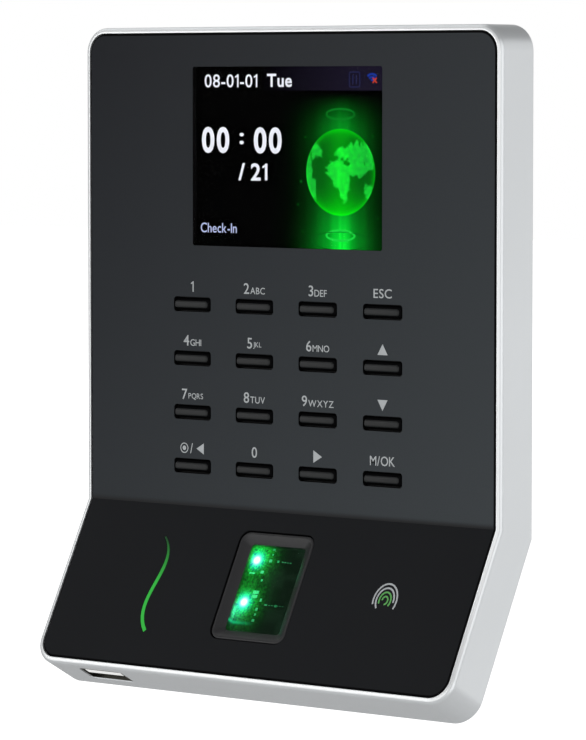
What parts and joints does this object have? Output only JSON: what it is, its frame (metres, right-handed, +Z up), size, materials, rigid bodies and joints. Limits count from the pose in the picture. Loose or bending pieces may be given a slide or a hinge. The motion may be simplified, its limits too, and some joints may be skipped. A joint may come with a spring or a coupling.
{
  "type": "fingerprint scanner terminal",
  "caption": "Wall-hung terminal with a flat display and keypad section above a forward-leaning fingerprint scanner section, hooked on a steel wall plate.",
  "frame": {"origin": "on the wall plane, at the centre of the wall plate's four screw holes", "axes": "+X to the viewer's right as one faces the terminal, +Y into the wall, +Z up"},
  "size_m": [0.1268, 0.0347, 0.1614],
  "materials": {
    "zinc_steel": "zinc-plated sheet",
    "silver_paint": "satin silver paint",
    "cover_plastic": "fine moulded texture",
    "screw_steel": "plated",
    "charcoal_acrylic": "satin charcoal, printed on the back",
    "black_acrylic": "glossy black",
    "window_glass": "clear, polished",
    "black_foam": "closed-cell foam",
    "lcd_glass": "polarising film on glass",
    "white_plastic": "moulded",
    "amber_film": "polyimide film",
    "grey_silicone": "moulded silicone",
    "gold_plate": "gold plated",
    "circuit_board": "solder mask",
    "chip_black": "moulded epoxy or plastic",
    "ceramic_parts": "ceramic",
    "lead_black": "flexible sleeve",
    "lead_red": "flexible sleeve",
    "bezel_plastic": "fine moulded texture",
    "scanner_glass": "polished optical glass, lit green from behind",
    "led_lens": "clear epoxy, lit",
    "white_film": "printed film",
    "green_lens": "translucent green, lit from behind",
    "key_plastic": "satin moulded"
  },
  "bodies": {
    "wall_mount": {"wall_plate": "zinc_steel"},
    "terminal": {"front_housing": "silver_paint", "rear_cover": "cover_plastic", "rear_cover_screws": "screw_steel", "upper_panel": "charcoal_acrylic", "lower_panel": "black_acrylic", "display_window": "window_glass", "display_gasket": "black_foam", "lcd_panel": "lcd_glass", "lcd_backlight": "white_plastic", "lcd_can": "zinc_steel", "lcd_ribbon": "amber_film", "keypad_mat": "grey_silicone", "contact_pads": "gold_plate", "main_board": "circuit_board", "processor": "chip_black", "memory_chips": "chip_black", "board_components": "ceramic_parts", "board_connectors": "white_plastic", "board_screws": "screw_steel", "wifi_module": "screw_steel", "antenna": "chip_black", "antenna_lead": "lead_black", "coin_cell": "screw_steel", "coin_cell_holder": "white_plastic", "speaker": "chip_black", "speaker_lead": "lead_red", "fingerprint_bezel": "bezel_plastic", "fingerprint_glass": "scanner_glass", "fingerprint_holder": "chip_black", "fingerprint_leds": "led_lens", "fingerprint_led_board": "circuit_board", "fingerprint_camera": "chip_black", "fingerprint_board": "circuit_board", "fingerprint_ribbon": "white_film", "indicator_light_guide": "green_lens", "indicator_leds": "led_lens", "io_board": "circuit_board", "io_ribbon": "white_film", "usb_shell": "screw_steel", "usb_tongue": "white_plastic", "dc_jack": "chip_black", "dc_pin": "gold_plate", "power_lead": "lead_red"},
    "button_1": {"key_1": "key_plastic"},
    "button_2": {"key_2": "key_plastic"},
    "button_3": {"key_3": "key_plastic"},
    "button_esc": {"key_esc": "key_plastic"},
    "button_4": {"key_4": "key_plastic"},
    "button_5": {"key_5": "key_plastic"},
    "button_6": {"key_6": "key_plastic"},
    "button_up": {"key_up": "key_plastic"},
    "button_7": {"key_7": "key_plastic"},
    "button_8": {"key_8": "key_plastic"},
    "button_9": {"key_9": "key_plastic"},
    "button_down": {"key_down": "key_plastic"},
    "button_left": {"key_left": "key_plastic"},
    "button_0": {"key_0": "key_plastic"},
    "button_right": {"key_right": "key_plastic"},
    "button_ok": {"key_ok": "key_plastic"}
  },
  "joints": [
    {"name": "terminal_lift", "type": "slide", "parent": "wall_mount", "child": "terminal", "axis": [0, 0, 1], "range_m": [0, 0.0065]},
    {"name": "press_1", "type": "slide", "parent": "terminal", "child": "button_1", "axis": [0, 1, 0], "range_m": [0, 0.0007], "stiffness_N_per_m": 1500, "deforming": ["keypad_mat"]},
    {"name": "press_2", "type": "slide", "parent": "terminal", "child": "button_2", "axis": [0, 1, 0], "range_m": [0, 0.0007], "stiffness_N_per_m": 1500, "deforming": ["keypad_mat"]},
    {"name": "press_3", "type": "slide", "parent": "terminal", "child": "button_3", "axis": [0, 1, 0], "range_m": [0, 0.0007], "stiffness_N_per_m": 1500, "deforming": ["keypad_mat"]},
    {"name": "press_esc", "type": "slide", "parent": "terminal", "child": "button_esc", "axis": [0, 1, 0], "range_m": [0, 0.0007], "stiffness_N_per_m": 1500, "deforming": ["keypad_mat"]},
    {"name": "press_4", "type": "slide", "parent": "terminal", "child": "button_4", "axis": [0, 1, 0], "range_m": [0, 0.0007], "stiffness_N_per_m": 1500, "deforming": ["keypad_mat"]},
    {"name": "press_5", "type": "slide", "parent": "terminal", "child": "button_5", "axis": [0, 1, 0], "range_m": [0, 0.0007], "stiffness_N_per_m": 1500, "deforming": ["keypad_mat"]},
    {"name": "press_6", "type": "slide", "parent": "terminal", "child": "button_6", "axis": [0, 1, 0], "range_m": [0, 0.0007], "stiffness_N_per_m": 1500, "deforming": ["keypad_mat"]},
    {"name": "press_up", "type": "slide", "parent": "terminal", "child": "button_up", "axis": [0, 1, 0], "range_m": [0, 0.0007], "stiffness_N_per_m": 1500, "deforming": ["keypad_mat"]},
    {"name": "press_7", "type": "slide", "parent": "terminal", "child": "button_7", "axis": [0, 1, 0], "range_m": [0, 0.0007], "stiffness_N_per_m": 1500, "deforming": ["keypad_mat"]},
    {"name": "press_8", "type": "slide", "parent": "terminal", "child": "button_8", "axis": [0, 1, 0], "range_m": [0, 0.0007], "stiffness_N_per_m": 1500, "deforming": ["keypad_mat"]},
    {"name": "press_9", "type": "slide", "parent": "terminal", "child": "button_9", "axis": [0, 1, 0], "range_m": [0, 0.0007], "stiffness_N_per_m": 1500, "deforming": ["keypad_mat"]},
    {"name": "press_down", "type": "slide", "parent": "terminal", "child": "button_down", "axis": [0, 1, 0], "range_m": [0, 0.0007], "stiffness_N_per_m": 1500, "deforming": ["keypad_mat"]},
    {"name": "press_left", "type": "slide", "parent": "terminal", "child": "button_left", "axis": [0, 1, 0], "range_m": [0, 0.0007], "stiffness_N_per_m": 1500, "deforming": ["keypad_mat"]},
    {"name": "press_0", "type": "slide", "parent": "terminal", "child": "button_0", "axis": [0, 1, 0], "range_m": [0, 0.0007], "stiffness_N_per_m": 1500, "deforming": ["keypad_mat"]},
    {"name": "press_right", "type": "slide", "parent": "terminal", "child": "button_right", "axis": [0, 1, 0], "range_m": [0, 0.0007], "stiffness_N_per_m": 1500, "deforming": ["keypad_mat"]},
    {"name": "press_ok", "type": "slide", "parent": "terminal", "child": "button_ok", "axis": [0, 1, 0], "range_m": [0, 0.0007], "stiffness_N_per_m": 1500, "deforming": ["keypad_mat"]}
  ]
}
